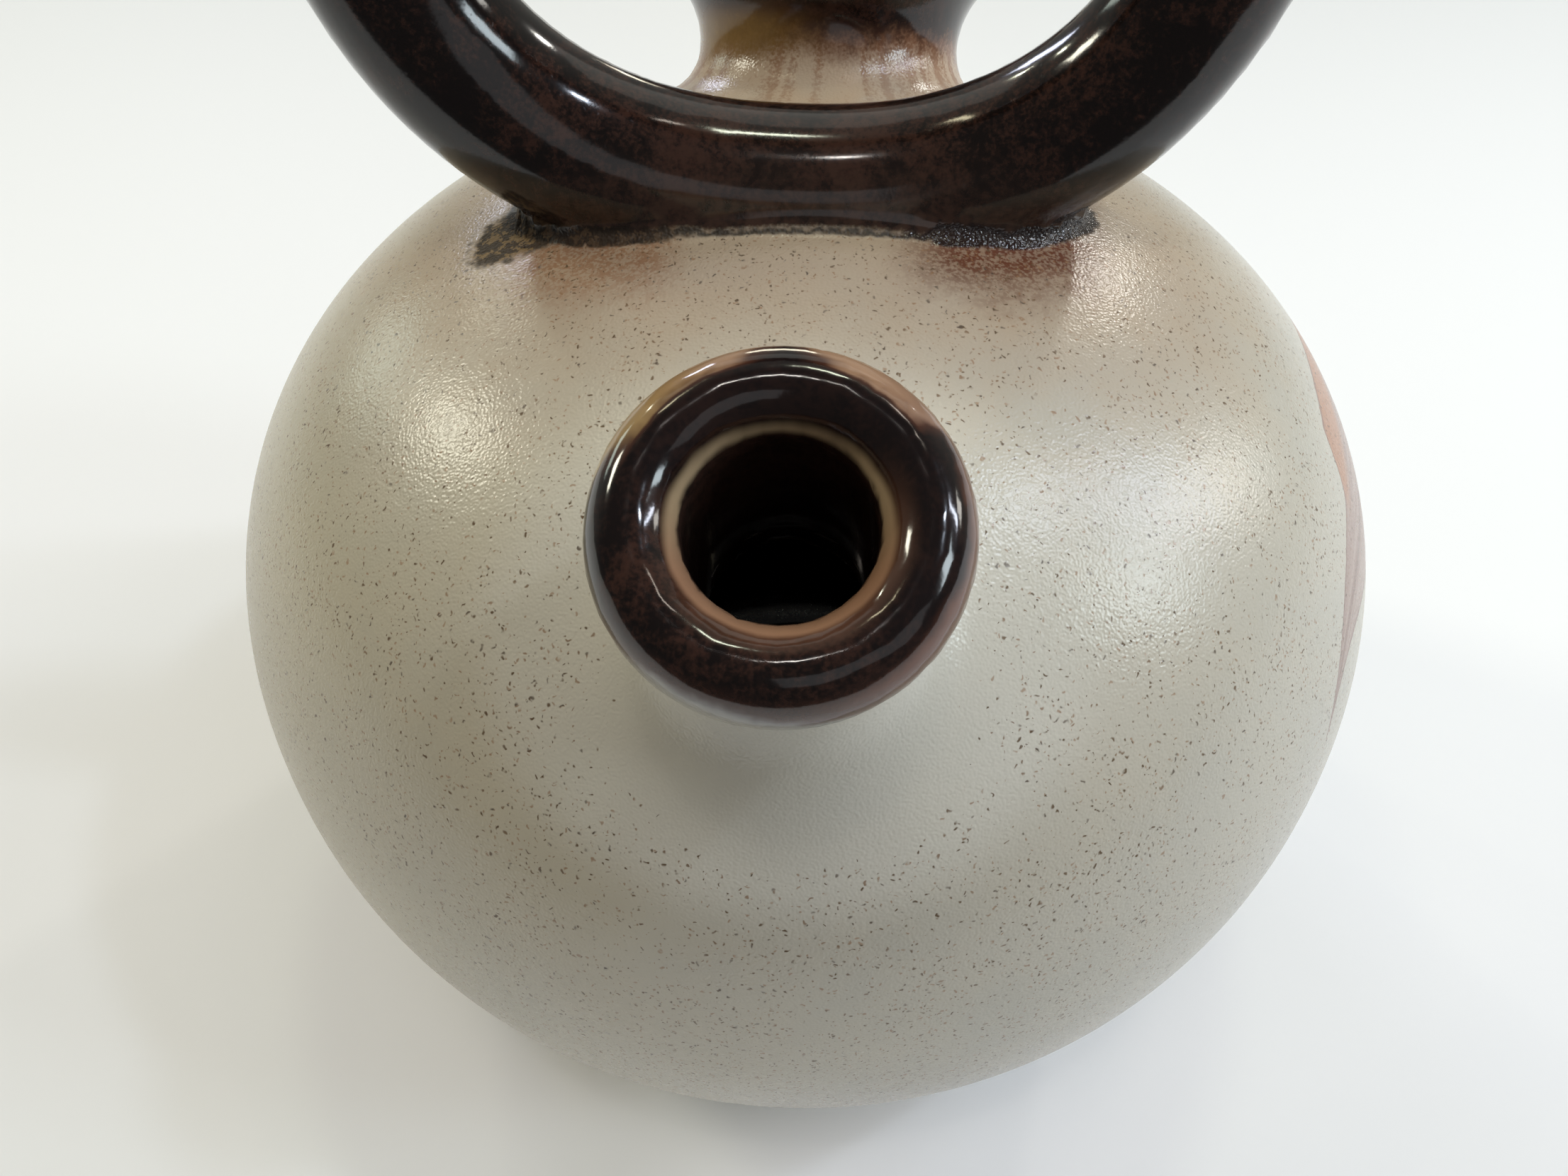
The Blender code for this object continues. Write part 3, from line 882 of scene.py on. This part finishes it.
def crust_at_the_ring(w, at, colour):
    """The crease under the ring: dark crust with pale flecks on the left, a black bead on the right."""
    to_crease = w.math("ABSOLUTE", w.plus(at.ring_side, 0.5, waver(w, at.grain, 1.5)))
    half_width = w.most(w.fade(at.x, -12.0, -28.0, 0.55, 1.5), w.fade(at.x, 12.0, 19.0, 0.55, 1.6))
    crease = w.times(w.fade(w.less(to_crease, half_width), 0.5, -0.5), w.fade(at.spout_side, -2.0, -4.0))
    from_patch = w.stretched(w.moved(at.place, tuple(-CRUST_PATCH)), CRUST_PATCH_SHAPE)
    to_patch = w.plus(w.length(from_patch), waver(w, at.cloud, 6.0), waver(w, at.grain, 4.0))
    patch = w.times(w.fade(to_patch, 8.2, 5.2), w.fade(at.ring_side, 1.5, 0.0))
    flecks = w.fade(w.plus(at.fine, waver(w, at.grain, 1.4)), 0.5, 0.66)
    colour = w.mix(w.times(patch, 0.86), colour, w.mix(flecks, CRUST_GROUND, CRUST_FLECK))
    right = w.fade(at.x, 5.0, 16.0)
    band = w.mix(right, w.mix(flecks, CREASE_GROUND, CREASE_FLECK), BLACK_BEAD)
    colour = w.mix(w.times(crease, 0.92), colour, band)
    bead = w.times(crease, right)
    crust = w.most(patch, w.times(crease, w.flip(right), 0.35))
    return colour, bead, crust


def shaded_insides(w, at, colour, dark):
    """The bores and the hollow in the dark glaze's browns: painted shade, standing in for the little light
    that reaches in there.
    """
    shaded_within = w.fade(at.inside, -0.2, 0.5)
    return w.mix(shaded_within, colour, w.mix(0.5, dark, INSIDE_SHADE_BROWN)), shaded_within


def bare_foot(w, at, colour):
    """The bare clay of the underside."""
    foot = w.fade(w.plus(at.z, waver(w, at.cloud, 1.6)), 1.5, 0.9)
    clay = w.mix(w.fade(at.grain, 0.35, 0.65), PALE_FOOT_CLAY, DARK_FOOT_CLAY)
    return w.mix(foot, colour, clay), foot


def pitted(w, at, pits):
    """The height of one kind of pits, in millimetres."""
    size, depth = pits
    return w.times(w.noise(at.place, size, 0.0), depth)


def new_material(name):
    """A material, its main shader, and the wiring of its nodes."""
    material = bpy.data.materials.new(name)
    material.use_nodes = True
    return material, material.node_tree.nodes["Principled BSDF"], Wiring(material.node_tree)


def glaze_material():
    material, shader, w = new_material("speckled_and_dark_glaze")
    at = Places(w)
    dark = iron_glaze(w, at)
    colour = body_ground(w, at)
    colour = painted_leaf(w, at, colour)
    colour = rust_at_the_ring(w, at, colour)
    colour, pinhole = speckled(w, at, colour)
    colour, on_ring = ring_cover(w, at, colour, dark)
    colour, on_spout = spout_cover(w, at, colour, dark)
    colour, on_filler = filler_cover(w, at, colour, dark)
    # the bores and the hollow are painted dark as shade
    colour, shaded_within = shaded_insides(w, at, colour, dark)
    colour, bead, crust = crust_at_the_ring(w, at, colour)
    colour, foot = bare_foot(w, at, colour)
    w.feed(shader.inputs["Base Color"], colour)

    glossy = w.most(on_ring, on_spout, on_filler, shaded_within, bead)
    rough = w.plus(w.fade(glossy, 0.0, 1.0, GROUND_ROUGHNESS, GLOSSY_ROUGHNESS),
                   w.times(foot, FOOT_ROUGHENING), w.times(crust, CRUST_ROUGHENING),
                   w.times(pinhole, PINHOLE_ROUGHENING))
    w.feed(shader.inputs["Roughness"], rough)
    shader.inputs["IOR"].default_value = GLAZE_IOR

    pits = w.plus(pitted(w, at, SMALL_PITS), pitted(w, at, WIDE_PITS))
    lumps = w.times(w.most(bead, crust), CRUST_LUMPS)
    strength = w.plus(w.fade(glossy, 0.0, 1.0, 1.0, PITS_IN_GLOSSY), lumps)
    w.feed(shader.inputs["Normal"], w.bump(pits, strength))
    return material


def table_material():
    material, shader, w = new_material("white_table")
    depth = w.parts(millimetres(w))[1]
    # The table is painted darker further back: painted shade standing in for the dimmer light on its far part
    top = w.mix(w.fade(depth, 120.0, 700.0), NEAR_TABLE, FAR_TABLE_SHADE)
    w.feed(shader.inputs["Base Color"], top)
    shader.inputs["Roughness"].default_value = TABLE_ROUGHNESS
    shader.inputs["Specular IOR Level"].default_value = TABLE_SHINE
    return material


def pale_table():
    mesh = bpy.data.meshes.new("table")
    corners = [(-TABLE_HALF_WIDTH, TABLE_NEAR_EDGE, 0.0), (TABLE_HALF_WIDTH, TABLE_NEAR_EDGE, 0.0),
               (TABLE_HALF_WIDTH, TABLE_FAR_EDGE, 0.0), (-TABLE_HALF_WIDTH, TABLE_FAR_EDGE, 0.0)]
    mesh.from_pydata(corners, [], [(0, 1, 2, 3)])
    mesh.materials.append(table_material())
    return new_object("table", mesh)


def place_camera():
    camera = new_object("camera", bpy.data.cameras.new("camera"))
    camera.location = CAMERA_PLACE
    camera.rotation_euler = CAMERA_TURN
    camera.data.lens = CAMERA_LENS
    camera.data.sensor_width = CAMERA_SENSOR
    camera.data.clip_start = CAMERA_NEAREST
    bpy.context.scene.camera = camera


def lamp(name, direction, irradiance, width, height, mirrored):
    """A soft panel light aimed at the jug; irradiance is what it gives a surface that faces it."""
    aim = Vector(direction).normalized()
    data = bpy.data.lights.new(name, "AREA")
    data.shape = "RECTANGLE"
    data.size, data.size_y = width, height
    strength = max(irradiance)
    data.color = tuple(part / strength for part in irradiance)
    data.energy = strength * pi * LAMP_DISTANCE ** 2
    obj = new_object(name, data)
    obj.location = LAMP_TARGET + aim * LAMP_DISTANCE
    obj.rotation_euler = aim.to_track_quat("Z", "Y").to_euler()
    obj.visible_glossy = mirrored


def room():
    """A dim room in front of the jug, and pale lit walls behind it."""
    world = bpy.data.worlds.new("room")
    bpy.context.scene.world = world
    world.use_nodes = True
    w = Wiring(world.node_tree)
    towards = w.node("ShaderNodeTexCoord").outputs["Generated"]
    behind = w.facing(towards, (0.0, 1.0, 0.0), 0.0, 0.5)
    w.feed(world.node_tree.nodes["Background"].inputs["Color"], w.mix(behind, DIM_ROOM, PALE_WALLS))


jug = jug_skin()
jug.data.materials.clear()
jug.data.materials.append(glaze_material())
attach(jug, "root")
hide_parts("jug")

place_camera()
table = pale_table()
for details in LAMPS:
    lamp(*details)
room()
bpy.context.scene.view_settings.view_transform = "Standard"
